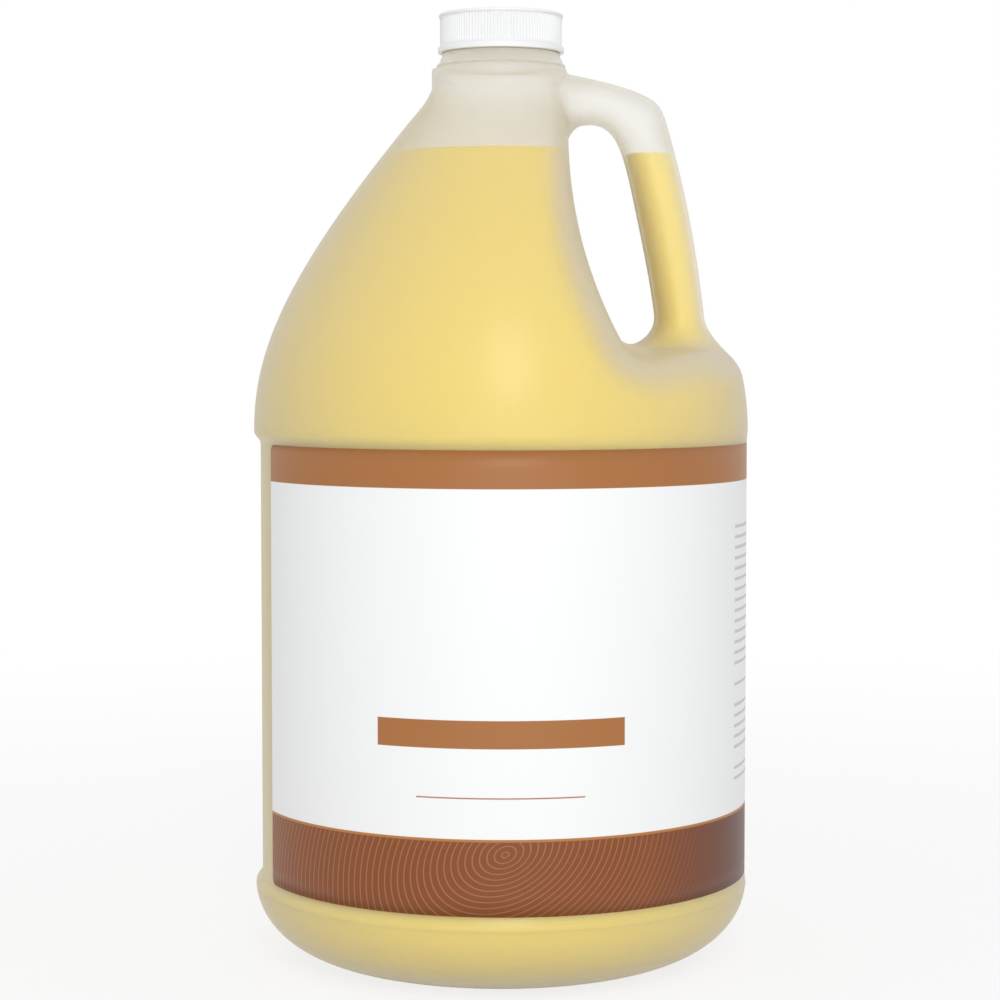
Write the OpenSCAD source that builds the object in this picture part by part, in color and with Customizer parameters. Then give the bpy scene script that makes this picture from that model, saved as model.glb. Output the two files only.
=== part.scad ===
// One-gallon round jug with a moulded-through side handle, screw cap, liner and wrap label,
// filled with oil. Millimetres, +Z up. The origin is on the body's axis, on the plane that the
// jug stands on. The handle is on the +X side, and the middle of the label's front faces -Y.

/* [Body] */
// Greatest diameter of the round body
body_d = 158.8; // [152:0.2:170]
// Thickness of the bottle's wall
wall = 1.2; // [0.9:0.1:1.6]
// Width of the rounded heel, from the body's side in to the standing ring
heel_w = 32.5; // [26:0.5:38]
// Height of the rounded heel
heel_h = 25; // [20:0.5:32]
// Width of the flat ring that the jug stands on
foot_w = 7; // [5:0.5:10]
// Height of the base's pushed-up middle
push_up = 4; // [2.5:0.5:7]

/* [Label panel] */
// Depth of the recessed panel that carries the label, below the body's side
panel_recess = 1.3; // [1.2:0.1:3]
// Height of the panel between its ledges
panel_h = 139; // [110:1:160]
// Distance from the body's axis to the panel's, towards the handle
panel_shift = 0.8; // [0:0.1:0.9]
// Height of the sloping ledge at each end of the panel
ledge_h = 2.5; // [1.5:0.5:5]

/* [Label] */
// Thickness of the label
label_t = 0.15; // [0.1:0.05:0.4]
// Thickness of the glue under the label
label_glue = 0.05; // [0.03:0.01:0.1]
// Bare strip of panel above and below the label
label_margin = 0.4; // [0.2:0.1:6]
// Angle that the label covers
label_wrap = 289; // [200:1:350]
// Angle from the front of the jug round to the label's left edge
label_left = 68; // [40:1:120]

/* [Shoulder] */
// Height from the panel's upper ledge to the collar
shoulder_h = 110; // [95:1:125]
// How upright the shoulder starts: height of its curve's second control point
shoulder_upright = 25; // [15:1:40]
// Distance of its third control point in from the body's side
shoulder_inset = 8; // [4:0.5:14]
// Height of its third control point
shoulder_turn = 50; // [40:1:60]

/* [Pocket behind the handle] */
// Distance from the jug's axis to the pocket's wall, where that wall is upright
pocket_x = 21.2; // [20.6:0.2:25]
// Height of that upright place above the panel's upper ledge
pocket_h = 91; // [84:1:97]
// Height of the pocket's floor above the panel's upper ledge
pocket_floor = 28; // [22:1:34]
// Radius of the curve that carries the wall out towards the floor
pocket_bend_r = 132; // [115:1:150]
// Hollow radius between the wall and the floor
pocket_valley_r = 6; // [5:0.5:10]
// Rounding of the pocket's rim at the neck
rim_r_top = 6; // [4:0.5:8]
// Rounding of the pocket's rim at the floor
rim_r_floor = 13; // [9:0.5:15]

/* [Handle] */
// Width of the handle, seen from the front
handle_w = 16.2; // [13:0.2:19]
// Depth of the handle, from front to back
handle_depth = 22; // [18:0.5:26]
// How far the handle's middle stands in from the body's side, at the pocket's floor
handle_inset = 21; // [18:0.5:23]
// How far the second control point of the handle's line stands out beyond the straight part
handle_reach = 5.9; // [4:0.1:8]
// Drop of that point below the collar's foot
handle_dip = 4.4; // [2:0.1:7]
// How far its third control point stands in from the straight part
handle_back = 24.4; // [22:0.2:27]
// Drop of that point below the collar's foot
handle_sag = 23.1; // [20:0.1:26]
// How far its fourth control point stands in from the straight part
handle_lean = 3.4; // [2:0.1:5]
// Drop of that point below the collar's foot
handle_turn = 16.7; // [14:0.1:20]
// How much each side of the handle widens into the pocket's floor
handle_flare = 3; // [1:0.5:4]

/* [Neck] */
// Outer diameter of the collar
collar_d = 40.8; // [40:0.2:42]
// Height of the collar
collar_h = 7; // [5:0.5:10]
// Diameter of the bead under the cap
bead_d = 37.8; // [37:0.2:38.6]
// Height of the finish, from the collar's top to the rim
finish_h = 14.2; // [13.6:0.1:18]
// Outer diameter of the neck under its thread
neck_d = 34.7; // [34.2:0.1:35]
// Diameter of the neck's thread
thread_d = 36.8; // [36.2:0.1:37]
// Bore of the neck
bore_d = 31.8; // [29:0.2:32]
// Rise of the thread in one turn
pitch = 4.2333; // [3.9:0.0001:4.6]
// Number of turns that the thread runs
thread_turns = 1.1; // [0.8:0.1:1.3]

/* [Cap] */
// Diameter of the cap over its ribs
cap_d = 38.9; // [38.6:0.1:42]
// Diameter of the cap's plain flange
flange_d = 40.4; // [39.4:0.1:44]
// Height of the flange
flange_h = 2.2; // [1.5:0.1:3]
// Height of the cap
cap_h = 12.2; // [11.8:0.1:14]
// Thickness of the cap's top
cap_top = 1.35; // [1:0.05:2]
// Number of ribs
cap_ribs = 120; // [60:4:140]
// Depth of the ribs
rib_depth = 0.3; // [0.2:0.05:0.4]
// Gap between the neck's thread and the cap's skirt
skirt_gap = 0.2; // [0.15:0.05:0.4]
// Thickness of the liner
liner_t = 1; // [0.8:0.1:2]
// Gap between the liner and the neck's rim
liner_gap = 0.05; // [0.03:0.01:0.1]

/* [Oil] */
// Height of the oil in the jug
oil_level = 258.2; // [180:0.2:262]
// Gap between the oil and the bottle's wall
oil_gap = 0.25; // [0.2:0.05:0.5]

/* [Hidden] */

$fn = 96;
EPS = 0.01;
COLUMNS = 80;      // round the upper body
ROWS = 26;         // up the upper body
CURVE_STEPS = 60;  // along the shoulder's curve
HEEL_STEPS = 10;
HANDLE_RINGS = 26;
HANDLE_SIDES = 14;
HANDLE_ROOT = 6.4; // how far the handle's line starts inside the neck
HANDLE_DROP = 3;   // how far below the collar's foot it starts
HANDLE_FOOT = 7;   // how far it ends under the pocket's floor
THREAD_STEP = 12;  // degrees between the rings of a thread
CAP_THREAD_START = 100;  // degrees from the start of the neck's thread to the cap's
SEAM = 0.3;        // how far two solids of one piece run into each other
LEDGE_FOOT = 1.2;  // how far the upper ledge runs in and down inside the panel
FLARE_L = 8;       // height over which the handle widens into the floor
RIM_BEVEL = 0.6;
BEAD_DROP = 0.4;   // from the cap's lower edge down to the bead
THREAD_RISE = 1.6; // from the bead up to the middle of the thread's first ring
LINER_PLAY = 0.3;
thread_drop = 1.48;  // from the neck's thread down to the cap's

body_r = body_d / 2;
panel_r = body_r - panel_recess;
foot_r = body_r - heel_w;
dish_r = foot_r - foot_w;
panel_z0 = heel_h + ledge_h;
panel_z1 = panel_z0 + panel_h;
band_z = panel_z1 + ledge_h;
collar_z = band_z + shoulder_h;
collar_top = collar_z + collar_h;
rim_z = collar_top + finish_h;
pocket_z = band_z + pocket_h;
floor_z = band_z + pocket_floor;
collar_r = collar_d / 2;
bead_r = bead_d / 2;
neck_r = neck_d / 2;
thread_r = thread_d / 2;
bore_r = bore_d / 2;
cap_r = cap_d / 2;
flange_r = flange_d / 2;
skirt_r = thread_r + skirt_gap;
cap_z1 = rim_z + liner_gap + liner_t + cap_top;
cap_z0 = cap_z1 - cap_h;
bead_top = cap_z0 - BEAD_DROP;
thread_z = bead_top + RIM_BEVEL + THREAD_RISE;

// The middle of the handle, as [x, z] control points from inside the neck to under the floor
handle_x = body_r - handle_inset;
handle_path = [[collar_r - HANDLE_ROOT, collar_z - HANDLE_DROP],
    [handle_x + handle_reach, collar_z - handle_dip], [handle_x - handle_back, collar_z - handle_sag],
    [handle_x - handle_lean, collar_z - handle_turn], [handle_x, floor_z - HANDLE_FOOT]];

// A point at t on the Bezier curve of any number of control points
function bezier(p, t) = len(p) == 1 ? p[0]
    : bezier([for (i = [0:len(p) - 2]) (1 - t) * p[i] + t * p[i + 1]], t);

// The shoulder's outline, as [radius, height] points from the body's side to the collar
shoulder_ends = [[body_r, band_z], [body_r, band_z + shoulder_upright],
    [body_r - shoulder_inset, band_z + shoulder_turn], [collar_r + 0.1, collar_z]];
shoulder_line = [for (i = [0:CURVE_STEPS]) bezier(shoulder_ends, i / CURVE_STEPS)];
shoulder_radius = [for (p = shoulder_line) [p.y, p.x]];
shoulder_lean = [for (i = [1:CURVE_STEPS]) let (a = shoulder_line[i - 1], b = shoulder_line[i])
    [(a.y + b.y) / 2, (b.y - a.y) / norm(b - a)]];

// Where two surfaces meet: the outside of what both keep, and the hollow of what either keeps
function rounded_both(a, b, r) = min(-r, max(a, b)) + norm([max(r + a, 0), max(r + b, 0)]);
function rounded_either(a, b, r) = max(r, min(a, b)) - norm([max(r - a, 0), max(r - b, 0)]);

// Distance outside the pocket's wall and floor, which run straight along Y
function wall_sine(z) = max(0, min(0.9, (pocket_z - z) / pocket_bend_r));
function wall_x(z) = pocket_x + pocket_bend_r * (1 - sqrt(1 - wall_sine(z) ^ 2));
function pocket_at(x, z) = rounded_either(z - floor_z,
    (x - wall_x(z)) * sqrt(1 - wall_sine(z) ^ 2), pocket_valley_r);

// Rounding of the pocket's rim, which grows from the neck down to the middle of the wall
function rim_r(z) = let (share = 2 * (pocket_z - z) / (pocket_z - floor_z))
    rim_r_top + (rim_r_floor - rim_r_top) * max(0, min(1, share));

// Distance of a point outside the upper body: below zero inside it
function body_at(p) = rounded_both(
    (norm([p.x, p.y]) - lookup(p.z, shoulder_radius)) * lookup(p.z, shoulder_lean),
    pocket_at(p.x, p.z), rim_r(p.z));

// The point in direction d from the middle of the shoulder's foot, where body_at reaches level
function halve(d, level, low, high, n) = let (mid = (low + high) / 2, p = [0, 0, band_z] + mid * d)
    n == 0 ? p
    : body_at(p) < level ? halve(d, level, mid, high, n - 1)
    : halve(d, level, low, mid, n - 1);

// A closed solid through rings of equally many points, with each end closed at its middle
module solid_of_rings(rings) {
    n = len(rings[0]);
    last = len(rings) - 1;
    ends = [rings[0], rings[last]];
    middles = [for (e = ends) [for (k = [0:2]) [for (p = e) 1] * [for (p = e) p[k]] / n]];
    low = n * len(rings);
    sides = [for (i = [0:last - 1], j = [0:n - 1]) let (k = (j + 1) % n, a = i * n, b = a + n)
        each [[a + j, b + k, a + k], [a + j, b + j, b + k]]];
    bottom = [for (j = [0:n - 1]) [low, j, (j + 1) % n]];
    top = [for (j = [0:n - 1]) [low + 1, last * n + (j + 1) % n, last * n + j]];
    polyhedron(concat([for (r = rings) each r], middles), concat(sides, bottom, top), convexity = 8);
}

// The round body up to the shoulder, drawn in by inset
module lower_body(inset) {
    waist = panel_r - panel_shift - SEAM - inset;
    heel = [for (i = [0:HEEL_STEPS]) let (a = 90 * i / HEEL_STEPS)
        [foot_r + (heel_w - inset) * sin(a), heel_h - (heel_h - inset) * cos(a)]];
    rotate_extrude() polygon(concat(
        [[0, push_up + inset], [dish_r - push_up, push_up + inset], [dish_r, inset]],
        heel,
        [[waist, panel_z0], [waist, panel_z1 - SEAM], [0, panel_z1 - SEAM]]));
    translate([panel_shift, 0, heel_h + SEAM])
        cylinder(r = panel_r - inset, h = panel_z1 - heel_h - SEAM);
}

// The upper body, drawn in by inset: the ledge, then rows of points seen from a centre on the axis
module upper_body(inset) {
    foot = [for (j = [0:COLUMNS - 1]) let (a = 360 * j / COLUMNS, r = panel_r - inset - LEDGE_FOOT)
        [panel_shift + r * cos(a), r * sin(a), panel_z1 - LEDGE_FOOT]];
    rows = [for (i = [0:ROWS]) let (p = bezier(shoulder_ends, i / ROWS), e = atan2(p.y - band_z, p.x))
        [for (j = [0:COLUMNS - 1]) let (a = 360 * j / COLUMNS)
            halve([cos(e) * cos(a), cos(e) * sin(a), sin(e)], -EPS - inset, 0, 1.5 * shoulder_h, 18)]];
    solid_of_rings(concat([foot], rows));
}

// The handle, drawn in by inset: ellipses along its path, wider where they enter the floor
module handle(inset) {
    solid_of_rings([for (i = [0:HANDLE_RINGS]) let (
            t = i / HANDLE_RINGS,
            p = bezier(handle_path, t),
            along = bezier(handle_path, t + EPS) - bezier(handle_path, t - EPS),
            across = [-along.y, along.x] / norm(along),
            reach = max(0, min(1, 1 - (p.y - floor_z) / FLARE_L)),
            flare = handle_flare * reach ^ 2 - inset)
        [for (j = [0:HANDLE_SIDES - 1]) let (
                a = 360 * j / HANDLE_SIDES,
                q = p + (handle_w / 2 + flare) * cos(a) * across)
            [q.x, -(handle_depth / 2 + flare) * sin(a), q.y]]]);
}

// A helical ridge from radius r0, where it is root wide, to r1, where it is crest wide
module thread(r0, r1, root, crest, start, z) {
    steps = ceil(360 * thread_turns / THREAD_STEP);
    solid_of_rings([for (i = [0:steps]) let (
            a = start + i * THREAD_STEP,
            rise = z + pitch * i * THREAD_STEP / 360,
            taper = min(1, 0.3 + 0.35 * min(i, steps - i)),
            tip = r0 + (r1 - r0) * taper,
            side = r1 > r0 ? 1 : -1)
        [for (c = [[r0, -root], [r0, root], [tip, crest], [tip, -crest]])
            [c.x * cos(a), c.x * sin(a), rise + side * c.y / 2]]]);
}

module bottle_outside() {
    lower_body(0);
    upper_body(0);
    handle(0);
    rotate_extrude() polygon([[0, collar_z - 2], [collar_r, collar_z - 2], [collar_r, collar_top],
        [bead_r, collar_top + 1.7 * (collar_r - bead_r)], [bead_r, bead_top],
        [neck_r, bead_top + RIM_BEVEL], [neck_r, rim_z - RIM_BEVEL], [neck_r - RIM_BEVEL, rim_z],
        [0, rim_z]]);
    thread(neck_r - 0.3, thread_r, 2.2, 1, 0, thread_z);
}

// The space inside the bottle, drawn in by inset from its outside
module bottle_inside(inset) {
    lower_body(inset);
    upper_body(inset);
    handle(inset);
}

module bottle() {
    color("ivory", 0.6)
    difference() {
        bottle_outside();
        bottle_inside(wall);
        rotate_extrude() polygon([[0, collar_z - 8], [collar_r - wall, collar_z - 8],
            [collar_r - wall, collar_top - 3], [bore_r, collar_top], [bore_r, rim_z + 1],
            [0, rim_z + 1]]);
    }
}

module cap() {
    root_r = cap_r - rib_depth;
    ribs_z = cap_z0 + flange_h;
    color("white") {
        difference() {
            union() {
                translate([0, 0, ribs_z - SEAM]) linear_extrude(cap_z1 - RIM_BEVEL - ribs_z + SEAM)
                    polygon([for (i = [0:2 * cap_ribs - 1]) let (a = 180 * i / cap_ribs,
                        r = i % 2 == 0 ? cap_r : root_r) r * [cos(a), sin(a)]]);
                rotate_extrude() polygon([[0, cap_z0], [flange_r, cap_z0],
                    [flange_r, ribs_z - (flange_r - cap_r)], [root_r - EPS, ribs_z + rib_depth],
                    [root_r - EPS, cap_z1 - RIM_BEVEL], [root_r - EPS - RIM_BEVEL, cap_z1], [0, cap_z1]]);
            }
            translate([0, 0, cap_z0 - 1]) cylinder(r = skirt_r, h = cap_z1 - cap_top - cap_z0 + 1);
        }
        thread(skirt_r + 0.2, neck_r + 0.3, 1.5, 0.8, CAP_THREAD_START,
            thread_z + pitch * CAP_THREAD_START / 360 - thread_drop);
    }
}

module cap_liner() {
    color("gainsboro") translate([0, 0, rim_z + liner_gap])
        cylinder(r = skirt_r - LINER_PLAY, h = liner_t);
}

module label() {
    r = panel_r + label_glue;
    color("sienna") translate([panel_shift, 0, panel_z0 + label_margin])
        rotate([0, 0, -90 - label_left]) rotate_extrude(angle = label_wrap)
            translate([r, 0]) square([label_t, panel_h - 2 * label_margin]);
}

module oil() {
    color("khaki", 0.8) intersection() {
        bottle_inside(wall + oil_gap);
        translate([0, 0, -1]) cylinder(r = body_d, h = oil_level + 1);
    }
}

bottle();
cap();
cap_liner();
label();
oil();
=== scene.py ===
"""A one-gallon jug of massage oil with a moulded handle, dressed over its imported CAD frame.

Objects are in metres, +Z up. The jug stands on the origin, with its handle towards +X and the
front of its label towards -Y. Mesh code counts in millimetres until an object is made."""

import math

import bmesh
import bpy
import numpy as np
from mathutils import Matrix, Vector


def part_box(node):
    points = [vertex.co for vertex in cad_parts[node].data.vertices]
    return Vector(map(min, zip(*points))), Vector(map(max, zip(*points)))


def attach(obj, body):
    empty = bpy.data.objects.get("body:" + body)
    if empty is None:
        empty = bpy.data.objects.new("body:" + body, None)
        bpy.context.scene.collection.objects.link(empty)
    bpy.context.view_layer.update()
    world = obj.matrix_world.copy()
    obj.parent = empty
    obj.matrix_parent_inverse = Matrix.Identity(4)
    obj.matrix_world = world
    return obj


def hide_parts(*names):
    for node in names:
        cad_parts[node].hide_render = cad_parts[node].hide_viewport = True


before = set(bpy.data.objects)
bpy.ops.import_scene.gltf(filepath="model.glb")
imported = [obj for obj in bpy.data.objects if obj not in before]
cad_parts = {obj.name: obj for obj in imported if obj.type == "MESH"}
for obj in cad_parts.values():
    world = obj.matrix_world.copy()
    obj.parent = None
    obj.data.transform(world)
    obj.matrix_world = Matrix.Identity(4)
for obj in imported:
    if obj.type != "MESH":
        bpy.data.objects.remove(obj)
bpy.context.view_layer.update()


# ---- View ---------------------------------------------------------------------------------------
# A long lens looks slightly down on the jug from 0.83 m, a little above the middle of its height.
# The floor is pale paper that fades to white, and the light is two soft boxes and the room.

def linear(colour):
    """An sRGB hex colour as linear red, green, blue and alpha."""
    shares = [int(colour[i:i + 2], 16) / 255 for i in (1, 3, 5)]
    return [s / 12.92 if s <= 0.04045 else ((s + 0.055) / 1.055) ** 2.4 for s in shares] + [1]


def add(tree, kind, inputs={}, **settings):
    """Adds a node: settings are its own, and inputs are values or the sockets that feed it."""
    node = tree.nodes.new("ShaderNode" + kind)
    for name, value in settings.items():
        setattr(node, name, value)
    for name, value in inputs.items():
        if isinstance(value, bpy.types.NodeSocket):
            tree.links.new(value, node.inputs[name])
        else:
            node.inputs[name].default_value = value
    return node


def new_material(name):
    """A material with nothing in its tree but an output."""
    material = bpy.data.materials.new(name)
    material.use_nodes = True
    tree = material.node_tree
    tree.nodes.clear()
    return material, tree, tree.nodes.new("ShaderNodeOutputMaterial")


scene = bpy.context.scene
scene.view_settings.view_transform = "Standard"

CAMERA_AT = (-0.0003, -0.826, 0.1942)
LOOK_DOWN, LENS_MM = 3.26, 92.05

camera = bpy.data.objects.new("camera", bpy.data.cameras.new("camera"))
scene.collection.objects.link(camera)
camera.location = CAMERA_AT
camera.rotation_euler = (math.radians(90 - LOOK_DOWN), 0, 0)
camera.data.sensor_width = 36
camera.data.lens = LENS_MM
scene.camera = camera

ROOM_LIGHT = 0.65

world = bpy.data.worlds.new("room")
world.use_nodes = True
scene.world = world
room = world.node_tree
room.nodes.clear()
path = add(room, "LightPath")
mirrored = add(room, "Math", {0: path.outputs["Is Camera Ray"], 1: path.outputs["Is Glossy Ray"]},
               operation="MAXIMUM")
mirrored = add(room, "Math", {0: mirrored.outputs[0], 1: path.outputs["Is Transmission Ray"]},
               operation="MAXIMUM")
strength = add(room, "Math", {0: mirrored.outputs[0], 1: 1 - ROOM_LIGHT, 2: ROOM_LIGHT},
               operation="MULTIPLY_ADD")
sky = add(room, "Background", {"Color": (1, 1, 1, 1), "Strength": strength.outputs[0]})
room.links.new(sky.outputs[0], add(room, "OutputWorld").inputs[0])


def soft_box(name, watts, size, place, aim):
    """A rectangular lamp at place, turned to aim."""
    lamp = bpy.data.lights.new(name, "AREA")
    lamp.energy = watts
    lamp.shape = "RECTANGLE"
    lamp.size, lamp.size_y = size
    holder = bpy.data.objects.new(name, lamp)
    scene.collection.objects.link(holder)
    holder.location = place
    toward = np.subtract(aim, place)
    holder.rotation_euler = (math.atan2(math.hypot(toward[0], toward[1]), -toward[2]), 0,
                             math.atan2(toward[1], toward[0]) - math.pi / 2)


soft_box("front_box", 6.6, (0.36, 0.85), (0.1, -1.35, 0.9), (0, 0, 0.18))
soft_box("low_box", 1.2, (0.9, 0.16), (0.08, -0.95, 0.12), (0, 0, 0.08))

FLOOR_R = 3

floor_mesh = bpy.data.meshes.new("floor")
shape = bmesh.new()
bmesh.ops.create_circle(shape, cap_ends=True, segments=96, radius=FLOOR_R)
shape.to_mesh(floor_mesh)
shape.free()
floor = bpy.data.objects.new("floor", floor_mesh)
scene.collection.objects.link(floor)

# Matt paper. It keeps the jug's shadow near the jug, and the rest of it fades to the white of
# the backdrop, for eyes and mirrors only, so it throws no more light than paper does.
paper, tree, output = new_material("backdrop_paper")
path = add(tree, "LightPath")
seen = add(tree, "Math", {0: path.outputs["Is Camera Ray"], 1: path.outputs["Is Glossy Ray"]},
           operation="MAXIMUM")
seen = add(tree, "Math", {0: seen.outputs[0], 1: path.outputs["Is Transmission Ray"]},
           operation="MAXIMUM")
where = add(tree, "NewGeometry")
away = add(tree, "VectorMath", {0: where.outputs["Position"]}, operation="LENGTH")
fade = add(tree, "MapRange", {"Value": away.outputs["Value"], "From Min": 0.1, "From Max": 0.9,
                              "To Min": 0.8, "To Max": 1.0}, interpolation_type="SMOOTHSTEP")
share = add(tree, "Math", {0: seen.outputs[0], 1: fade.outputs[0]}, operation="MULTIPLY")
matt = add(tree, "BsdfDiffuse", {"Color": linear("#f6f6f5")})
white = add(tree, "Emission", {"Color": (1, 1, 1, 1), "Strength": 1})
both = add(tree, "MixShader", {0: share.outputs[0], 1: matt.outputs[0], 2: white.outputs[0]})
tree.links.new(both.outputs[0], output.inputs["Surface"])
floor_mesh.materials.append(paper)


# ---- Jug ----------------------------------------------------------------------------------------
# The jug is natural high-density polyethylene, blow-moulded in one piece: a milky, see-through
# wall about 1.2 mm thick, with a neck that is formed thicker.

BODY_R = 79.4
WALL = 1.2
HEEL_W, HEEL_H = 32.5, 25
FOOT_W = 7
PUSH_UP = 4
PANEL_R, PANEL_Z0, PANEL_Z1, PANEL_SHIFT = 78.1, 27.5, 166.5, 0.8
LEDGE_H = 2.5
BAND_Z = 169
COLLAR_R, COLLAR_Z = 20.4, 279
POCKET_X, POCKET_Z, POCKET_FLOOR = 21.2, 260, 197
POCKET_BEND_R, POCKET_VALLEY_R = 132, 6
RIM_R_TOP, RIM_R_FLOOR = 6, 13
RIM_AT_Y, RIM_R_AT_Y = [0, 12, 45], [3, 6, RIM_R_FLOOR]
FLOOR_TURN_X, FLOOR_TURN_R, FLOOR_FALL, FLOOR_LEAN = 66, 4, 0.45, 0.95
FLOOR_CROWN = 0.0022
HANDLE_HALF_D = 11
NET_Z0, NET_Z1 = 171, 285.6
NET_STEP = 1.25
COLUMNS = 224


def bezier(controls, t):
    """The points at each t on the Bezier curve of any number of control points."""
    rows = [np.broadcast_to(np.array(c, float), (len(t), len(c))) for c in controls]
    while len(rows) > 1:
        rows = [a + t[:, None] * (b - a) for a, b in zip(rows, rows[1:])]
    return rows[0]


def rounded(corners, steps=5):
    """A line through (radius, height, rounding) corners, each one eased by its rounding."""
    line = []
    for i, (*corner, rounding) in enumerate(corners):
        corner = np.array(corner, float)
        if not rounding:
            line.append(corner)
            continue
        arms = [np.array(corners[k][:2]) - corner for k in (i - 1, i + 1)]
        ends = [corner + a / np.linalg.norm(a) * rounding for a in arms]
        line.extend(bezier([ends[0], corner, ends[1]], np.linspace(0, 1, steps)))
    return np.array(line)


def rounded_both(a, b, r):
    """Distance outside what two shapes share, with the edge between them rounded."""
    return np.minimum(-r, np.maximum(a, b)) + np.hypot(np.maximum(r + a, 0), np.maximum(r + b, 0))


def rounded_either(a, b, r):
    """Distance outside two shapes joined, with the hollow between them rounded."""
    return np.maximum(r, np.minimum(a, b)) - np.hypot(np.maximum(r - a, 0), np.maximum(r - b, 0))


shoulder = bezier([(BODY_R, BAND_Z), (BODY_R, 194), (71.4, 219), (20.5, COLLAR_Z)],
                  np.linspace(0, 1, 161))
shoulder_steps = np.diff(shoulder, axis=0)
shoulder_lean = shoulder_steps[:, 1] / np.linalg.norm(shoulder_steps, axis=1)
shoulder_mid = (shoulder[1:, 1] + shoulder[:-1, 1]) / 2

# The handle's outline seen from the front: its outer side, and its side towards the hand
HANDLE_OUTER = [(14, 285.1), (72.9, 275.1), (38.5, 267.8), (59.9, 281.5), (66.9, 190)]
HANDLE_INNER = [(14, 262.9), (48.5, 280.7), (33.3, 248.7), (50.9, 228.1), (50.3, 190)]
JOINT_AT_Z, JOINT_R_AT_Z = [198, 210, 225, 270, 284], [11, 9, 5, 5, 1]

handle_sides = [bezier(line, np.linspace(0, 1, 401)) for line in (HANDLE_OUTER, HANDLE_INNER)]


def pocket_distance(x, y, z):
    """Distance into the pocket behind the handle, and less than nothing inside the body."""
    sine = np.clip((POCKET_Z - z) / POCKET_BEND_R, 0, 0.9)
    cosine = np.sqrt(1 - sine ** 2)
    wall_x = POCKET_X + POCKET_BEND_R * (1 - cosine)
    past = x - FLOOR_TURN_X
    outward = (past + np.hypot(past, FLOOR_TURN_R)) / 2
    floor = (z - POCKET_FLOOR + FLOOR_FALL * outward + FLOOR_CROWN * y ** 2) * FLOOR_LEAN
    return rounded_either(floor, (x - wall_x) * cosine, POCKET_VALLEY_R)


def side_distance(x, y, z):
    """Distance outside the round shoulder."""
    return (np.hypot(x, y) - np.interp(z, shoulder[:, 1], shoulder[:, 0])) \
        * np.interp(z, shoulder_mid, shoulder_lean)


def body_distance(x, y, z):
    """Distance outside the shoulder, the collar and the pocket behind the handle."""
    side, pocket = side_distance(x, y, z), pocket_distance(x, y, z)
    down = np.clip(2 * (POCKET_Z - z) / (POCKET_Z - POCKET_FLOOR), 0, 1)
    rim = np.interp(abs(y), RIM_AT_Y, RIM_R_AT_Y)
    body = rounded_both(side, pocket, RIM_R_TOP + (rim - RIM_R_TOP) * down)
    collar = np.maximum(np.hypot(x, y) - COLLAR_R, COLLAR_Z - 3 - z)
    return rounded_either(body, collar, 5)


def line_distance(line, x, z):
    """Distance to the left of a line in the plane through the handle."""
    along = np.gradient(line, axis=0)
    along /= np.linalg.norm(along, axis=1)[:, None]
    near = np.zeros(len(x), int)
    for part in np.array_split(np.arange(len(x)), len(x) // 20000 + 1):
        dx, dz = x[part, None] - line[:, 0], z[part, None] - line[:, 1]
        near[part] = (dx ** 2 + dz ** 2).argmin(1)
    return (z - line[near, 1]) * along[near, 0] - (x - line[near, 0]) * along[near, 1]


def handle_distance(x, y, z):
    """Distance outside the handle, an oval tube between its two outlines."""
    far = np.full(x.shape, 40.0)
    close = (x > 8) & (x < 80) & (abs(y) < 26) & (z > 184)
    x, y, z = x[close], y[close], z[close]
    outer, inner = (line_distance(line, x, z) for line in handle_sides)
    half_w = np.maximum((inner - outer) / 2, 2)
    across = (inner + outer) / 2
    ring = np.hypot(across / half_w, y / HANDLE_HALF_D)
    slope = np.hypot(across / half_w ** 2, y / HANDLE_HALF_D ** 2)
    tube = np.where(ring < 0.1, -6, ring * (ring - 1) / np.maximum(slope, 1e-6))
    far[close] = np.maximum(tube, 12 - x)
    return far


def jug_distance(x, y, z):
    """Distance outside the jug above its label: the hollow under the handle is 5 mm in radius,
    the one at its foot 11 mm, and it meets the collar almost sharply."""
    joint = np.interp(z, JOINT_AT_Z, JOINT_R_AT_Z)
    return rounded_either(body_distance(x, y, z), handle_distance(x, y, z), joint)


def surface_net(distance, low, high, step):
    """Points and four-sided faces of the surface at distance 0, on a grid from low to high."""
    low, high = np.array(low, float), np.array(high, float)
    cells = np.round((high - low) / step).astype(int)
    step = (high - low) / cells
    axes = [low[k] + step[k] * np.arange(cells[k] + 1) for k in range(3)]
    field = distance(*np.meshgrid(*axes, indexing="ij"))
    total, count = np.zeros((*cells, 3)), np.zeros(cells)
    for axis in range(3):
        for corner in np.ndindex(2, 2):
            start = list(corner)
            start.insert(axis, 0)
            end = [s + (k == axis) for k, s in enumerate(start)]
            a, b = (field[tuple(slice(s, s + n) for s, n in zip(c, cells))] for c in (start, end))
            crossed = (a < 0) != (b < 0)
            t = np.where(crossed, a / np.where(crossed, a - b, 1), 0)
            for k in range(3):
                total[..., k] += crossed * (start[k] + (t if k == axis else 0))
            count += crossed
    used = count > 0
    number = np.full(cells, -1)
    number[used] = np.arange(used.sum())
    points = (np.argwhere(used) + total[used] / count[used][:, None]) * step + low
    faces = []
    for axis in range(3):
        u, v = (axis + 1) % 3, (axis + 2) % 3
        cut = [slice(None)] * 3
        cut[u] = cut[v] = slice(1, -1)
        first, second = list(cut), list(cut)
        first[axis], second[axis] = slice(None, -1), slice(1, None)
        a, b = field[tuple(first)] < 0, field[tuple(second)] < 0
        at = np.argwhere(a != b)
        corners = []
        for du, dv in ((0, 0), (1, 0), (1, 1), (0, 1)):
            cell = at.copy()
            cell[:, u] += du
            cell[:, v] += dv
            corners.append(number[tuple(cell.T)])
        quads = np.stack(corners, 1)
        inward = ~a[tuple(at.T)]
        quads[inward] = quads[inward, ::-1]
        faces.append(quads)
    return points, np.vstack(faces)


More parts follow.
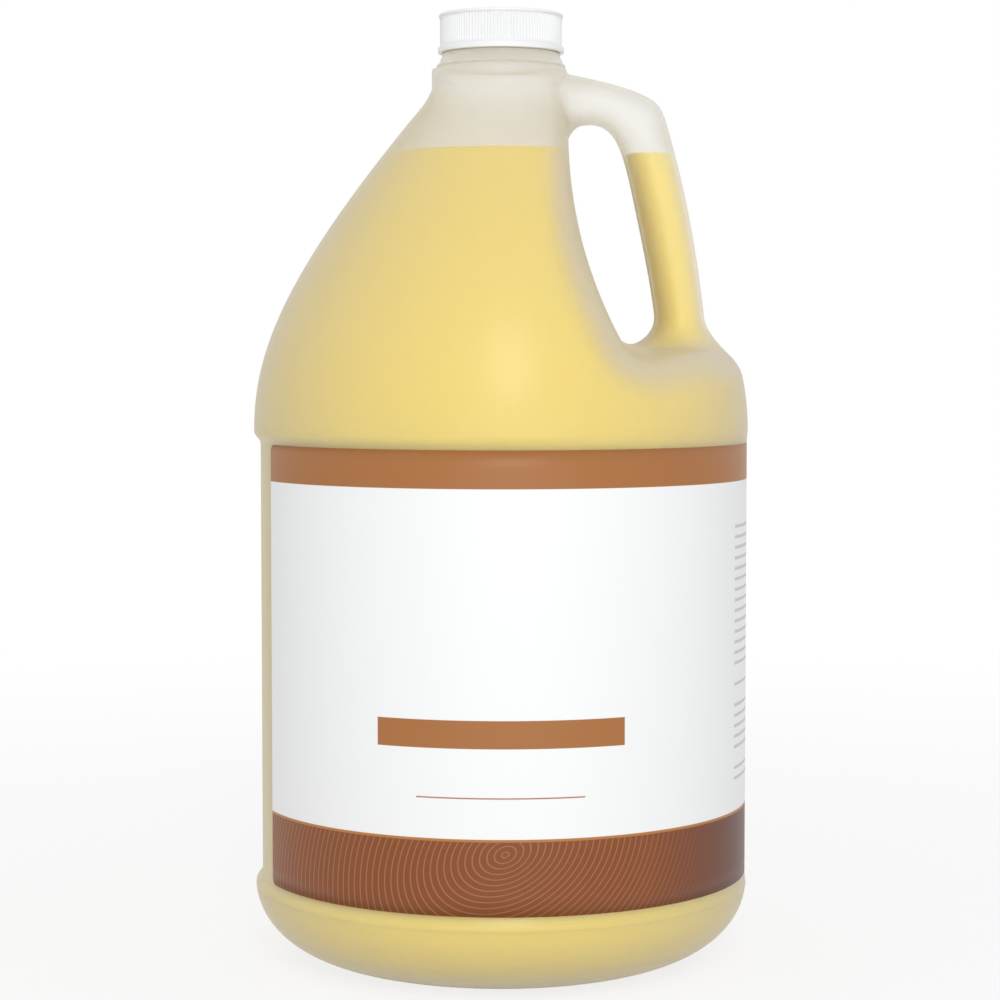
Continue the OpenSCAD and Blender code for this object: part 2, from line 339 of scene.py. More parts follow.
def pull(points, distance):
    """Points moved onto the surface, and the surface's slope there."""
    h = 0.05
    slope = np.stack([distance(*(points + d).T) - distance(*(points - d).T)
                      for d in h * np.eye(3)], 1) / (2 * h)
    gap = distance(*points.T) / (slope ** 2).sum(1)
    return points - slope * gap[:, None], slope


def open_loops(faces):
    """The loops of point numbers along a mesh's open edges."""
    edges = {(int(f[i - 1]), int(f[i])) for f in faces for i in range(len(f))}
    ahead = {a: b for a, b in sorted(edges) if (b, a) not in edges}
    loops = []
    while ahead:
        point, loop = next(iter(ahead)), []
        while point in ahead:
            loop.append(point)
            point = ahead.pop(point)
        loops.append(loop)
    return loops


def band_between(points, low, high):
    """Triangles that join two loops round the axis, low under high, facing outwards."""
    turned = []
    for loop in (low, high):
        loop = np.array(loop)
        x, y = points[loop, 0], points[loop, 1]
        if (x * np.roll(y, -1) - y * np.roll(x, -1)).sum() < 0:
            loop = loop[::-1]
        loop = np.roll(loop, -np.arctan2(points[loop, 1], points[loop, 0]).argmin())
        angle = np.arctan2(points[loop, 1], points[loop, 0])
        turned.append((loop, np.append(angle, angle[0] + 2 * math.pi)))
    (low, a), (high, b) = turned
    faces, i, j = [], 0, 0
    while i < len(low) or j < len(high):
        if j == len(high) or (i < len(low) and a[i + 1] <= b[j + 1]):
            faces.append((low[i], low[(i + 1) % len(low)], high[j % len(high)]))
            i += 1
        else:
            faces.append((low[i % len(low)], high[(j + 1) % len(high)], high[j]))
            j += 1
    return faces


def rings_round(line, columns, shift=0, swell=0):
    """Rings of points at each (radius, height) of a line, round the axis or shifted along +X."""
    angle = np.arange(columns) * 2 * math.pi / columns
    radius = line[:, :1] + swell
    shift = np.broadcast_to(np.reshape(shift, (-1, 1)), radius[:, :1].shape)
    x, y = shift + radius * np.cos(angle), radius * np.sin(angle)
    z = np.broadcast_to(line[:, 1:2], x.shape)
    return np.stack([x, y, z], -1).reshape(-1, 3)


def ring_faces(rows, columns, first=0):
    """Four-sided faces between neighbouring rings, facing outwards where the rings rise."""
    row, column = np.divmod(np.arange((rows - 1) * columns), columns)
    after = row * columns + (column + 1) % columns
    here = row * columns + column
    return first + np.stack([here, after, after + columns, here + columns], 1)


def new_object(name, points, faces, body):
    """A smooth piece made from points in millimetres, on its body."""
    mesh = bpy.data.meshes.new(name)
    mesh.from_pydata((np.array(points) * 0.001).tolist(), [],
                     [[int(i) for i in f] for f in faces])
    mesh.polygons.foreach_set("use_smooth", [True] * len(mesh.polygons))
    piece = bpy.data.objects.new(name, mesh)
    scene.collection.objects.link(piece)
    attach(piece, body)
    return piece


# The lower body, from the middle of its pushed-up base to the foot of the shoulder
foot_r = BODY_R - HEEL_W
dish_r = foot_r - FOOT_W
start_r = np.interp(NET_Z0, shoulder[:, 1], shoulder[:, 0])


def lower_rings(inset):
    """How many rings the lower body has, and their points, drawn in by inset."""
    turn = np.linspace(0, math.pi / 2, 25)[1:-1]
    heel = np.stack([foot_r + (HEEL_W - inset) * np.sin(turn),
                     HEEL_H - (HEEL_H - inset) * np.cos(turn)], 1)
    body_r, panel_r, dish_z = BODY_R - inset, PANEL_R - inset, PUSH_UP + inset
    line = np.vstack([
        rounded([(1, dish_z, 0), (14, dish_z, 0), (dish_r - PUSH_UP - 6, dish_z, 0),
                 (dish_r - PUSH_UP, dish_z, 3), (dish_r, inset, 1.5), (foot_r, inset, 0)]),
        heel,
        rounded([(body_r, HEEL_H - 1.5, 0), (body_r, HEEL_H, 1.3), (panel_r, PANEL_Z0, 1.3),
                 *[(panel_r, z, 0) for z in np.arange(PANEL_Z0 + 6, PANEL_Z1 - 4, 8)],
                 (panel_r, PANEL_Z1, 1.3), (body_r, BAND_Z, 1.3), (start_r - inset, NET_Z0, 0)])])
    shift = PANEL_SHIFT * np.clip((line[:, 1] - HEEL_H) / LEDGE_H, 0, 1) \
        * np.clip((BAND_Z - line[:, 1]) / LEDGE_H, 0, 1)
    return len(line), rings_round(line, COLUMNS, shift)


# The shoulder, pocket and handle, as a net over the surface that they share
net_points, net_faces = surface_net(jug_distance, (-81, -81, NET_Z0), (81, 81, NET_Z1), NET_STEP)
ends, others = net_faces.ravel(), np.roll(net_faces, -1, 1).ravel()
loops = open_loops(net_faces)
edge = np.zeros(len(net_points), bool)
for loop in loops:
    edge[loop] = True
for _ in range(4):
    mean = np.stack([np.bincount(ends, net_points[others, k], len(edge))
                     + np.bincount(others, net_points[ends, k], len(edge)) for k in range(3)], 1)
    joined = sum(np.bincount(side, minlength=len(edge)) for side in (ends, others))
    mean /= joined[:, None]
    net_points = np.where(edge[:, None], net_points, 0.4 * net_points + 0.6 * mean)
    net_points, net_slope = pull(net_points, jug_distance)
net_normals = net_slope / np.linalg.norm(net_slope, axis=1)[:, None]

# The outside of the neck: collar, lip, groove, bead, screw thread and rim, then down the bore
RIM_Z = 300.2
NECK_R, THREAD_R, BORE_R = 17.35, 18.4, 15.9
BEAD_Z0, BEAD_Z1 = 289.1, 290
THREAD_Z, PITCH, THREAD_SPAN = 292.2, 4.2333, 396
NECK_STEP = 0.25

neck_line = np.vstack([
    rounded([(COLLAR_R, NET_Z1, 0), (20.65, 285.9, 0.2), (20.65, 286.3, 0.3), (19.9, 286.9, 0.4),
             (19.3, 288.4, 0.4), (18.9, BEAD_Z0, 0.2), (18.9, BEAD_Z1, 0.3),
             (NECK_R, BEAD_Z1 + 0.6, 0)]),
    [(NECK_R, z) for z in np.arange(BEAD_Z1 + 0.85, RIM_Z - 0.5, NECK_STEP)],
    rounded([(NECK_R, RIM_Z - 0.45, 0), (NECK_R, RIM_Z, 0.4), (BORE_R, RIM_Z, 0.4),
             (BORE_R, 288, 0), (BORE_R, 286.4, 0.3), (COLLAR_R - WALL, NET_Z1, 0)])])


def thread_swell(line, columns, from_r, to_r, start, z, length):
    """How far a helical ridge swells each point of a grid of rings out from from_r to to_r."""
    angle = np.arange(columns) * 360 / columns
    swell = np.zeros((len(line), columns))
    outside = (abs(line[:, :1] - from_r) < 0.01) * np.ones((1, columns))
    for lap in (0, 1):
        along = (angle - start) % 360 + 360 * lap
        centre = z + PITCH * along / 360
        ease = np.clip(np.minimum(along, length - along) / 24, 0, 1)
        flank = np.clip((1.15 - abs(line[:, 1:2] - centre)) / 0.65, 0, 1)
        ridge = (to_r - from_r) * (3 * flank ** 2 - 2 * flank ** 3) * np.sqrt(ease) * outside
        swell = np.where(abs(ridge) > abs(swell), ridge, swell)
    return swell


neck_points = rings_round(neck_line, COLUMNS, 0, thread_swell(
    neck_line, COLUMNS, NECK_R, THREAD_R, 0, THREAD_Z, THREAD_SPAN))


def skin(inset):
    """The jug's skin up to the collar, drawn in by inset: its points, its faces, which are always
    the same, and the loop that the neck joins."""
    rows, lower_points = lower_rings(inset)
    pole = np.array([[0, 0, PUSH_UP + inset]])
    points = np.vstack([lower_points, net_points - inset * net_normals, pole])
    faces = [tuple(f) for f in ring_faces(rows, COLUMNS)]
    last_ring = np.arange(COLUMNS) + (rows - 1) * COLUMNS
    low, high = sorted(([i + len(lower_points) for i in loop] for loop in loops),
                       key=lambda loop: points[loop, 2].mean())
    faces += band_between(points, last_ring, low)
    faces += [tuple(f) for f in net_faces + len(lower_points)]
    middle = len(points) - 1
    faces += [(middle, (i + 1) % COLUMNS, i) for i in range(COLUMNS)]
    return points, faces, high


def shade_truly(piece, outward):
    """Gives the net's faces the true normals of the jug's surface, so that its cells don't show.
    As many points as outward says, from the first, face out, and the others face in."""
    mesh = piece.data
    points = np.zeros(len(mesh.vertices) * 3)
    normals = np.zeros(len(mesh.vertices) * 3)
    mesh.vertices.foreach_get("co", points)
    mesh.vertex_normals.foreach_get("vector", normals)
    points, normals = points.reshape(-1, 3) * 1000, normals.reshape(-1, 3)
    true = (points[:, 2] > NET_Z0 - 0.5) & (points[:, 2] < NET_Z1 - 1)
    slope = pull(points[true], jug_distance)[1]
    slope /= np.linalg.norm(slope, axis=1)[:, None]
    side = np.where(np.arange(len(points)) < outward, 1, -1)[true]
    level = abs(normals[true, 2]) > 0.99
    normals[true] = np.where(level[:, None], normals[true], slope * side[:, None])
    corners = np.zeros(len(mesh.loops), int)
    mesh.loops.foreach_get("vertex_index", corners)
    mesh.normals_split_custom_set(normals[corners].tolist())


skin_points, skin_faces, collar_loop = skin(0)
inside_points, inside_faces, inside_loop = skin(WALL)
n = len(skin_points)
neck_first = 2 * n
neck_rows = len(neck_line)
points = np.vstack([skin_points, inside_points, neck_points])
collar_ring = neck_first + np.arange(COLUMNS)
bore_ring = neck_first + (neck_rows - 1) * COLUMNS + np.arange(COLUMNS)
outer_faces = skin_faces + band_between(points, collar_loop, collar_ring) \
    + [tuple(f) for f in ring_faces(neck_rows, COLUMNS, neck_first)]
inner_faces = [tuple(i + n for i in f[::-1]) for f in inside_faces] \
    + [f[::-1] for f in band_between(points, [i + n for i in inside_loop], bore_ring)]
jug = new_object("jug", points, outer_faces + inner_faces, "bottle_body")
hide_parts("bottle")
shade_truly(jug, n)

# How thick the wall is at each point, as the neck is nearly twice as thick as the rest and the
# mould leaves more along the pocket's rim and at the base, and how white the wall is painted. The
# two tones are painted light: the body's wall is painted warmer and darker, as painted light
# coloured by the oil, and the neck and the handle are painted whiter.
NECK_MORE, RIM_MORE, BASE_MORE = 0.9, 2, 1.5

x, y, z = points.T
off_body = body_distance(x, y, z)
by_rim = np.clip(1 + pocket_distance(x, y, z) / 9, 0, 1) * np.clip(1 - off_body / 4, 0, 1) \
    * np.clip((z - 180) / 10, 0, 1) * np.clip((272 - z) / 25, 0, 1) \
    * np.clip(1.2 + side_distance(x, y, z) / 14, 0, 1)
for name, values in (
        ("wall_mm", WALL + NECK_MORE * np.clip((z - 280) / 5, 0, 1) + RIM_MORE * by_rim
         + BASE_MORE * np.clip(1 - z / 9, 0, 1)),
        ("painted_light_pale_share", np.maximum(np.clip((z - 272) / 10, 0, 1),
                                   np.clip(off_body / 10, 0, 1) * (z > 190)))):
    attribute = jug.data.attributes.new(name, "FLOAT", "POINT")
    attribute.data.foreach_set("value", values.astype(np.float32))

# Natural polyethylene: milky and warm white, satin from a lightly blasted mould, whose halves
# leave a fine raised line. A third of what it scatters goes on through it, and the longer the way
# through the wall, the less shows behind.
# The blasting is drawn as grains of about 1.1 mm, coarser than it is, so that it shows.
PARTING_W = 0.35
CLOUD_PER_MM, INSIDE_CLOUD = 0.32, 0.25
SCATTERED_ON = 0.35
BLAST_SCALE = 900


def polyethylene(name, cloud):
    """The wall's material, for one side of it, which clouds so much in a millimetre."""
    material, tree, output = new_material(name)
    wall = add(tree, "Attribute", attribute_name="wall_mm")
    whiter = add(tree, "Attribute", attribute_name="painted_light_pale_share")
    # The wall's colour is painted light: warmer and darker on the body, whiter on the neck and the
    # handle
    colour = add(tree, "Mix", {0: whiter.outputs["Fac"], 6: linear("#e9e4d6"),
                               7: linear("#f9f7f2")}, data_type="RGBA")
    facing = add(tree, "LayerWeight", {"Blend": 0.5})
    cosine = add(tree, "Math", {0: 1.0, 1: facing.outputs["Facing"]}, operation="SUBTRACT")
    cosine = add(tree, "Math", {0: cosine.outputs[0], 1: 0.12}, operation="MAXIMUM")
    length = add(tree, "Math", {0: wall.outputs["Fac"], 1: cosine.outputs[0]}, operation="DIVIDE")
    clear = add(tree, "Math", {0: math.exp(-cloud), 1: length.outputs[0]}, operation="POWER")
    where = add(tree, "TexCoord")
    blasted = add(tree, "TexNoise", {"Vector": where.outputs["Object"], "Scale": BLAST_SCALE,
                                   "Detail": 2})
    split = add(tree, "SeparateXYZ", {0: where.outputs["Object"]})
    off = add(tree, "Math", {0: split.outputs["Y"]}, operation="ABSOLUTE")
    seam = add(tree, "MapRange", {"Value": off.outputs[0], "From Min": PARTING_W * 0.001,
                                  "From Max": 0}, interpolation_type="SMOOTHSTEP")
    height = add(tree, "Math", {0: blasted.outputs[0], 1: 0.25, 2: seam.outputs[0]},
                 operation="MULTIPLY_ADD")
    bump = add(tree, "Bump", {"Strength": 0.5, "Distance": 0.0002, "Height": height.outputs[0]})
    skin_look = add(tree, "BsdfPrincipled", {
        "Base Color": colour.outputs[2], "Roughness": 0.36, "IOR": 1.54,
        "Normal": bump.outputs[0]})
    through = add(tree, "BsdfTranslucent", {"Color": colour.outputs[2]})
    scattered = add(tree, "MixShader", {0: SCATTERED_ON, 1: skin_look.outputs[0],
                                        2: through.outputs[0]})
    straight = add(tree, "BsdfTransparent", {"Color": (1, 1, 1, 1)})
    mix = add(tree, "MixShader", {0: clear.outputs[0], 1: scattered.outputs[0],
                                  2: straight.outputs[0]})
    tree.links.new(mix.outputs[0], output.inputs["Surface"])
    return material


jug.data.materials.append(polyethylene("polyethylene_outside", CLOUD_PER_MM))
jug.data.materials.append(polyethylene("polyethylene_inside", CLOUD_PER_MM * INSIDE_CLOUD))
jug.data.polygons.foreach_set(
    "material_index", [0] * len(outer_faces) + [1] * len(inner_faces))


# ---- Oil ----------------------------------------------------------------------------------------
# Clear golden oil fills the body and the lower part of the handle up to one level. It is a liquid,
# so its shape is the jug's inside, drawn in by a hair's breadth, with a flat top.

OIL_LEVEL = 258.2
OIL_GAP = 0.25

oil_points, oil_faces, _ = skin(WALL + OIL_GAP)
oil = new_object("oil_fill", oil_points, oil_faces, "bottle_body")
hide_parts("oil")
shape = bmesh.new()
shape.from_mesh(oil.data)
level = OIL_LEVEL * 0.001
bmesh.ops.bisect_plane(shape, geom=shape.verts[:] + shape.edges[:] + shape.faces[:],
                       plane_co=(0, 0, level), plane_no=(0, 0, 1), clear_outer=True)
rim = [e for e in shape.edges if e.is_boundary]
bmesh.ops.holes_fill(shape, edges=rim, sides=0)
for face in shape.faces:
    face.smooth = face.normal.z < 0.999 or face.calc_center_median().z < level - 1e-5
shape.to_mesh(oil.data)
shape.free()
shade_truly(oil, len(oil.data.vertices))

# Golden oil, as deep as the jug: its colour is that of light that has been through it
golden, tree, output = new_material("golden_oil")
look = add(tree, "BsdfPrincipled", {"Base Color": linear("#fbe036"), "Roughness": 0.3,
                                    "IOR": 1.45, "Subsurface Weight": 0.3,
                                    "Subsurface Radius": (1.0, 0.7, 0.25),
                                    "Subsurface Scale": 0.01})
tree.links.new(look.outputs[0], output.inputs["Surface"])
oil.data.materials.append(golden)


# ---- Label --------------------------------------------------------------------------------------
# The label is a strip of coated white paper with rounded corners, die-cut and printed in brown,
# which is glued round most of the jug's panel. Its words and its picture are left off.

LABEL_R = PANEL_R + 0.05
LABEL_T = 0.15
LABEL_Z0, LABEL_Z1 = 27.9, 166.1
LABEL_LEFT, LABEL_WRAP = 68, 289
CORNER_R = 2.5

arc = math.radians(LABEL_WRAP) * (LABEL_R + LABEL_T)
corner = CORNER_R * (1 - np.cos(np.linspace(0, math.pi / 2, 9)))
s = np.concatenate([corner, np.linspace(CORNER_R, arc - CORNER_R, 300)[1:-1], arc - corner[::-1]])
edge_s = np.minimum(s, arc - s)
drawn_in = np.where(edge_s < CORNER_R,
                    CORNER_R - np.sqrt(np.maximum(CORNER_R ** 2 - (CORNER_R - edge_s) ** 2, 0)), 0)
share = np.linspace(0, 1, 25)
angle = np.radians(-90 - LABEL_LEFT + LABEL_WRAP * s / arc)
height = LABEL_Z0 + drawn_in + share[:, None] * (LABEL_Z1 - LABEL_Z0 - 2 * drawn_in)
layers = []
for r in (LABEL_R + LABEL_T, LABEL_R):
    layers.append(np.stack([PANEL_SHIFT + r * np.cos(angle) + 0 * height,
                            r * np.sin(angle) + 0 * height, height], -1).reshape(-1, 3))
rows, columns = height.shape
row, column = np.divmod(np.arange((rows - 1) * (columns - 1)), columns - 1)
here = row * columns + column
front = np.stack([here, here + 1, here + columns + 1, here + columns], 1)
back = front[:, ::-1] + rows * columns
border = [*range(columns), *range(2 * columns - 1, rows * columns, columns),
          *range(rows * columns - 2, (rows - 1) * columns - 1, -1),
          *range((rows - 2) * columns, 0, -columns)]
sides = [(b, a, a + rows * columns, b + rows * columns)
         for a, b in zip(border, border[1:] + border[:1])]
label = new_object("label_wrap", np.vstack(layers), [*map(tuple, front), *map(tuple, back), *sides],
                   "bottle_body")
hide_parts("label")
uv = label.data.uv_layers.new(name="millimetres")
flat = np.stack([np.tile(s - arc * LABEL_LEFT / LABEL_WRAP, rows), (height - LABEL_Z0).ravel()], 1)
flat = np.vstack([flat, flat])
corners = np.zeros(len(label.data.loops), int)
label.data.loops.foreach_get("vertex_index", corners)
uv.data.foreach_set("uv", flat[corners].ravel().astype(np.float32))

# Coated paper: bright and a little cool, with the print's brown inks lying on it as flat areas.
# Each area is printed where the place in millimetres, across and up the sheet, is inside its box.
BROWN, DARK_BROWN, TAN = "#a66c3b", "#844824", "#b5793f"
PALE_TAN, DUSK, GREY = "#d29a63", "#5c3020", "#6f7074"
BAR = (-39.2, 37.5)
RULE = (-26.5, 24.6)
FAR = 400
BAND_Z0, EDGE_Z, BAND_TOP_Z = 154.7, 51.1, 50.3
RIPPLE_END, RIPPLE_FULL, RIPPLE_INK = 72, 40, 0.34
DUSK_START, DUSK_FULL = 45, 95
PRINT_LEFT, PRINT_RIGHT, PRINT_Z0, PRINT_Z1 = 92, 158, 60, 143
PRINT_PITCH, PRINT_SHARE, PRINT_RAG, PRINT_GAPS, PRINT_INK = 3.3, 0.3, 18, 0.12, 0.42
printed_areas = [
    (BROWN, (-FAR, FAR), (BAND_Z0, FAR)),
    (BROWN, BAR, (78, 86.4)),
    (BROWN, RULE, (63.1, 63.5)),
    (TAN, (-FAR, FAR), (-FAR, EDGE_Z)),
    (DARK_BROWN, (-FAR, FAR), (-FAR, BAND_TOP_Z))]

printed, tree, output = new_material("printed_label_paper")
place = add(tree, "UVMap", uv_map="millimetres")
split = add(tree, "SeparateXYZ", {0: place.outputs[0]})
across, up = split.outputs["X"], split.outputs["Y"]
fibres = add(tree, "TexNoise", {"Vector": place.outputs[0], "Scale": 1.4, "Detail": 4})
sheet = add(tree, "MapRange", {"Value": fibres.outputs[0], "To Min": 0.985, "To Max": 1.0})
white = add(tree, "Mix", {0: sheet.outputs[0], 6: linear("#ebebea"), 7: linear("#f1f2f3")},
            data_type="RGBA")
colour = white.outputs[2]
for ink, (left, right), (low, high) in printed_areas:
    inside = None
    for value, first, last in ((across, left, right), (up, low - LABEL_Z0, high - LABEL_Z0)):
        middle, half = (first + last) / 2, (last - first) / 2
        off = add(tree, "Math", {0: value, 1: middle}, operation="SUBTRACT")
        off = add(tree, "Math", {0: off.outputs[0]}, operation="ABSOLUTE")
        within = add(tree, "MapRange", {"Value": off.outputs[0], "From Min": half + 0.08,
                                        "From Max": half - 0.08})
        inside = within if inside is None else add(
            tree, "Math", {0: inside.outputs[0], 1: within.outputs[0]}, operation="MULTIPLY")
    area = add(tree, "Mix", {0: inside.outputs[0], 6: colour, 7: linear(ink)}, data_type="RGBA")
    colour = area.outputs[2]

# Thin paler rings, like ripples in oil, are printed over the lower band and fade to the right
ripples = add(tree, "Mapping", {"Vector": place.outputs[0], "Location": (0.5, 18.7, 0),
                                "Rotation": (0, 0, math.radians(25)), "Scale": (1.45, 1, 1)},
              vector_type="TEXTURE")
waves = add(tree, "TexWave", {"Vector": ripples.outputs[0], "Scale": 0.2, "Distortion": 4,
                              "Detail": 0, "Detail Scale": 0.2},
            wave_type="RINGS", rings_direction="Z")
line = add(tree, "MapRange", {"Value": waves.outputs["Fac"], "From Min": 0.88, "From Max": 0.98})
fade = add(tree, "MapRange", {"Value": across, "From Min": RIPPLE_END, "From Max": RIPPLE_FULL})
low = add(tree, "MapRange", {"Value": up, "From Min": 50.4 - LABEL_Z0, "From Max": 50 - LABEL_Z0})
line = add(tree, "Math", {0: line.outputs[0], 1: fade.outputs[0]}, operation="MULTIPLY")
line = add(tree, "Math", {0: line.outputs[0], 1: low.outputs[0]}, operation="MULTIPLY")
line = add(tree, "Math", {0: line.outputs[0], 1: RIPPLE_INK}, operation="MULTIPLY")
dusk = add(tree, "MapRange", {"Value": across, "From Min": DUSK_START, "From Max": DUSK_FULL})
dusk = add(tree, "Math", {0: dusk.outputs[0], 1: low.outputs[0]}, operation="MULTIPLY")
toned = add(tree, "Mix", {0: dusk.outputs[0], 6: colour, 7: linear(DUSK)}, data_type="RGBA")
rings = add(tree, "Mix", {0: line.outputs[0], 6: toned.outputs[2], 7: linear(PALE_TAN)},
            data_type="RGBA")

# Plain grey rules of uneven length stand where small print would, on the label's right side
row = add(tree, "Math", {0: up, 1: PRINT_PITCH}, operation="DIVIDE")
number = add(tree, "Math", {0: row.outputs[0]}, operation="FLOOR")
within = add(tree, "Math", {0: row.outputs[0]}, operation="FRACT")
within = add(tree, "Math", {0: within.outputs[0], 1: PRINT_SHARE}, operation="LESS_THAN")
chance = add(tree, "TexWhiteNoise", {"W": number.outputs[0]}, noise_dimensions="1D")
end = add(tree, "MapRange", {"Value": chance.outputs["Value"], "To Min": PRINT_RIGHT - PRINT_RAG,
                             "To Max": PRINT_RIGHT})
limits = [
    add(tree, "Math", {0: across, 1: PRINT_LEFT}, operation="GREATER_THAN"),
    add(tree, "Math", {0: across, 1: end.outputs[0]}, operation="LESS_THAN"),
    add(tree, "Math", {0: up, 1: PRINT_Z0 - LABEL_Z0}, operation="GREATER_THAN"),
    add(tree, "Math", {0: up, 1: PRINT_Z1 - LABEL_Z0}, operation="LESS_THAN"),
    add(tree, "Math", {0: chance.outputs["Value"], 1: PRINT_GAPS}, operation="GREATER_THAN")]
for limit in limits:
    within = add(tree, "Math", {0: within.outputs[0], 1: limit.outputs[0]}, operation="MULTIPLY")
faint = add(tree, "Math", {0: within.outputs[0], 1: PRINT_INK}, operation="MULTIPLY")
final = add(tree, "Mix", {0: faint.outputs[0], 6: rings.outputs[2], 7: linear(GREY)},
            data_type="RGBA")

grain = add(tree, "Bump", {"Strength": 0.08, "Distance": 0.00005, "Height": fibres.outputs[0]})
gloss = add(tree, "BsdfPrincipled", {"Base Color": final.outputs[2], "Roughness": 0.4,
                                     "IOR": 1.5, "Specular IOR Level": 0.35,
                                     "Normal": grain.outputs[0]})
tree.links.new(gloss.outputs[0], output.inputs["Surface"])
label.data.materials.append(printed)


# ---- Cap ----------------------------------------------------------------------------------------
# The screw cap is white polypropylene, injection-moulded: 120 fine ribs stand between a plain
# flange and a thin lip at the top, and a helical thread runs round inside the skirt.

CAP_R, LIP_R, FLANGE_R, FLANGE_H = 19.55, 19.95, 20.2, 2.2
CAP_Z0, CAP_Z1 = (float(corner[2]) * 1000 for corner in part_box("cap"))
SKIRT_R, CAP_TOP = 18.6, 1.35
RIBS, RIB_DEPTH, RIB_COLUMNS = 120, 0.5, 8
CAP_THREAD_START, THREAD_DROP = 100, 1.48
CAP_COLUMNS = RIBS * RIB_COLUMNS

flange_top = CAP_Z0 + FLANGE_H
outside = rounded([
    (SKIRT_R + 0.4, CAP_Z0, 0), (FLANGE_R, CAP_Z0, 0.35), (FLANGE_R, flange_top - 0.55, 0.3),
    (CAP_R - 0.05, flange_top, 0.25),
    *[(CAP_R - 0.05, z, 0) for z in np.linspace(flange_top + 0.3, CAP_Z1 - 1.3, 9)],
    (CAP_R - 0.05, CAP_Z1 - 1, 0.1), (LIP_R, CAP_Z1 - 0.85, 0.15), (LIP_R, CAP_Z1, 0.5),
    (17.4, CAP_Z1, 0.15), (17.1, CAP_Z1 - 0.2, 0.15), (15, CAP_Z1 - 0.2, 0)], steps=6)
turn = np.arange(CAP_COLUMNS) * 2 * math.pi / RIB_COLUMNS
ridge = 0.5 + 0.5 * np.cos(turn)
rise, fall = outside[:, 1] - flange_top - 0.15, CAP_Z1 - 0.9 - outside[:, 1]
share = np.clip(np.minimum(rise, fall) / 0.3, 0, 1)
outer_points = rings_round(outside, CAP_COLUMNS, 0, RIB_DEPTH * share[:, None] * (ridge - 1))

ceiling_z = CAP_Z1 - CAP_TOP
inside = np.array([
    (SKIRT_R + 0.3, CAP_Z0), *[(SKIRT_R, z) for z in np.arange(CAP_Z0 + 0.3, ceiling_z - 0.2, 0.3)],
    (SKIRT_R, ceiling_z), (12, ceiling_z), (4, ceiling_z)])
groove = thread_swell(inside, COLUMNS, SKIRT_R, NECK_R + 0.3, CAP_THREAD_START,
                      THREAD_Z + PITCH * CAP_THREAD_START / 360 - THREAD_DROP, THREAD_SPAN)
inner_points = rings_round(inside, COLUMNS, 0, groove)
points = np.vstack([outer_points, inner_points, [[0, 0, CAP_Z1 - 0.2], [0, 0, ceiling_z]]])
first = len(outer_points)
top = (len(outside) - 1) * CAP_COLUMNS
ceiling = first + (len(inside) - 1) * COLUMNS
faces = [tuple(f) for f in ring_faces(len(outside), CAP_COLUMNS)]
faces += [tuple(f[::-1]) for f in ring_faces(len(inside), COLUMNS, first)]
faces += [f[::-1] for f in band_between(points, np.arange(CAP_COLUMNS), first + np.arange(COLUMNS))]
faces += [(len(points) - 2, top + i, top + (i + 1) % CAP_COLUMNS) for i in range(CAP_COLUMNS)]
faces += [(len(points) - 1, ceiling + (i + 1) % COLUMNS, ceiling + i) for i in range(COLUMNS)]
cap = new_object("screw_cap", points, faces, "cap_body")
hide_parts("cap")

# White polypropylene: bright, faintly cool and satin, with the mould's fine spark-eroded grain
GRAIN_MM = 0.4

plastic, tree, output = new_material("white_polypropylene")
where = add(tree, "TexCoord")
grain = add(tree, "TexNoise", {"Vector": where.outputs["Object"], "Scale": 1000 / GRAIN_MM,
                              "Detail": 2})
patches = add(tree, "TexNoise", {"Vector": where.outputs["Object"], "Scale": 120, "Detail": 2})
shine = add(tree, "MapRange", {"Value": patches.outputs[0], "To Min": 0.3, "To Max": 0.42})
bump = add(tree, "Bump", {"Strength": 0.1, "Distance": 0.00005, "Height": grain.outputs[0]})
look = add(tree, "BsdfPrincipled", {
    "Base Color": linear("#eff0f1"), "Roughness": shine.outputs[0], "IOR": 1.49,
    "Normal": bump.outputs[0]})
tree.links.new(look.outputs[0], output.inputs["Surface"])
cap.data.materials.append(plastic)


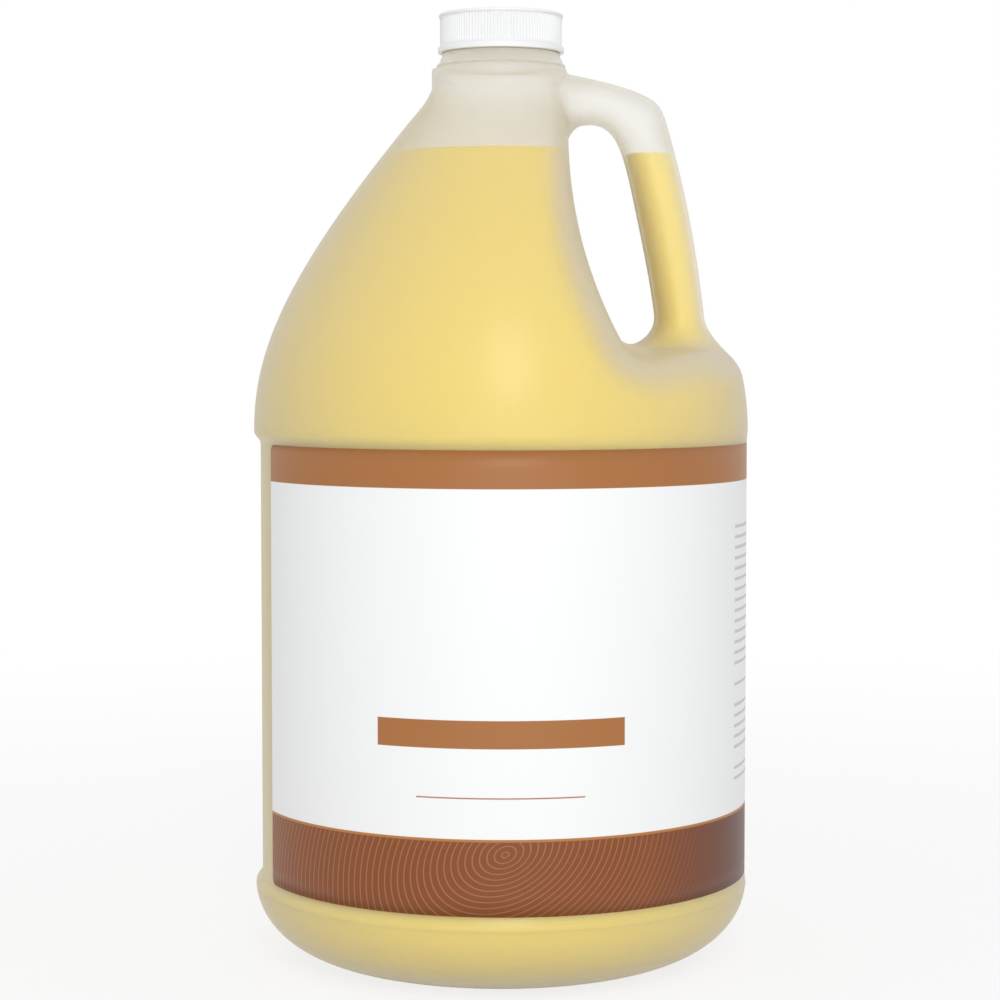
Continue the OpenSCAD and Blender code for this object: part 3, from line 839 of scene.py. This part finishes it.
# ---- Liner --------------------------------------------------------------------------------------
# The liner is a disc of foamed polyethylene, die-cut from sheet. It lies under the cap's top, and
# the neck's rim is pressed into it.

LINER_Z0, LINER_Z1 = (float(corner[2]) * 1000 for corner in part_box("cap_liner"))
LINER_R = SKIRT_R - 0.3
PRESSED = 0.08

disc = rounded([
    (4, LINER_Z0, 0), (BORE_R - 0.5, LINER_Z0, 0), (BORE_R, LINER_Z0 + PRESSED, 0.2),
    (NECK_R, LINER_Z0 + PRESSED, 0.2), (NECK_R + 0.4, LINER_Z0, 0.2), (LINER_R, LINER_Z0, 0.25),
    (LINER_R, LINER_Z1, 0.25), (4, LINER_Z1, 0)])
points = np.vstack([rings_round(disc, COLUMNS), [[0, 0, LINER_Z0], [0, 0, LINER_Z1]]])
last = (len(disc) - 1) * COLUMNS
faces = [tuple(f) for f in ring_faces(len(disc), COLUMNS)]
faces += [(len(points) - 2, (i + 1) % COLUMNS, i) for i in range(COLUMNS)]
faces += [(len(points) - 1, last + i, last + (i + 1) % COLUMNS) for i in range(COLUMNS)]
liner = new_object("foam_liner", points, faces, "liner_body")
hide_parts("cap_liner")

# Foamed polyethylene: chalky, off-white and matt, with closed cells a quarter of a millimetre wide
CELL_MM = 0.25

foam, tree, output = new_material("foamed_polyethylene")
where = add(tree, "TexCoord")
cells = add(tree, "TexVoronoi", {"Vector": where.outputs["Object"], "Scale": 1000 / CELL_MM})
bump = add(tree, "Bump", {"Strength": 0.35, "Distance": 0.00008,
                          "Height": cells.outputs["Distance"]})
tone = add(tree, "MapRange", {"Value": cells.outputs["Distance"], "To Min": 1, "To Max": 0})
shade = add(tree, "Mix", {0: tone.outputs[0], 6: linear("#d9d7d0"), 7: linear("#ecebe6")},
            data_type="RGBA")
look = add(tree, "BsdfPrincipled", {"Base Color": shade.outputs[2], "Roughness": 0.75,
                                    "IOR": 1.4, "Normal": bump.outputs[0]})
tree.links.new(look.outputs[0], output.inputs["Surface"])
liner.data.materials.append(foam)
